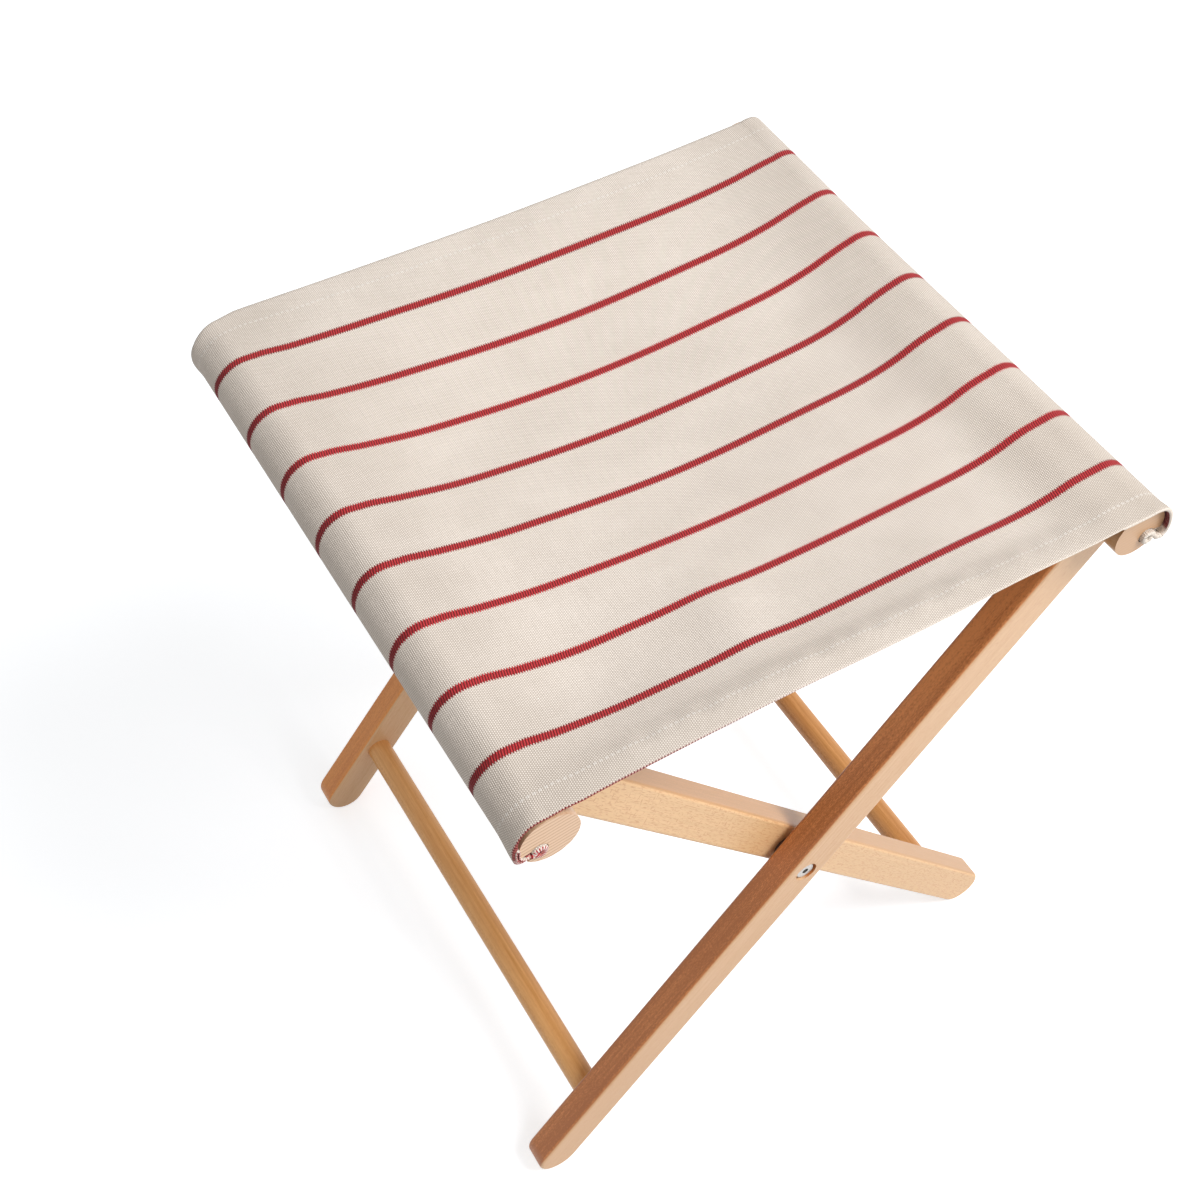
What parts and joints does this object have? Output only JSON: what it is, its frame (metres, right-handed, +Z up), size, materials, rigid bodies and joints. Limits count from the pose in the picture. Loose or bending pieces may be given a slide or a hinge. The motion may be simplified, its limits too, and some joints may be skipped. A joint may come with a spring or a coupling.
{
  "type": "folding stool",
  "caption": "Low folding stool: crossed round-ended wooden legs, round top rails and stretchers, and a striped canvas sling seat hemmed into grooves in the rails.",
  "frame": {"origin": "on the floor, under the middle of the open stool", "axes": "+Z up, X from rail to rail, Y along the rails; the outer frame carries the rail at +X and the inner frame the rail at -X"},
  "size_m": [0.3968, 0.391, 0.4854],
  "materials": {
    "beech": "satin clear lacquer",
    "canvas": "matt woven canvas",
    "steel": "bright zinc",
    "spacer": "matt nylon",
    "hem_rod": "matt extruded rod"
  },
  "bodies": {
    "outer_frame": {"outer_leg_near": "beech", "outer_leg_far": "beech", "outer_rail": "beech", "outer_stretcher": "beech", "seat_sling": "canvas", "outer_hem_core": "hem_rod", "pivot_bolt_near": "steel", "pivot_bolt_far": "steel", "pivot_sleeve_near": "steel", "pivot_sleeve_far": "steel", "spacer_washer_near": "spacer", "spacer_washer_far": "spacer", "outer_rail_screws": "steel"},
    "inner_frame": {"inner_leg_near": "beech", "inner_leg_far": "beech", "inner_rail": "beech", "inner_stretcher": "beech", "inner_hem_core": "hem_rod", "inner_rail_screws": "steel"}
  },
  "joints": [
    {"name": "fold", "type": "hinge", "parent": "outer_frame", "child": "inner_frame", "pos_m": [0, 0, 0.24088], "axis": [0, 1, 0], "range_deg": [0, 68], "deforming": ["seat_sling"]}
  ]
}
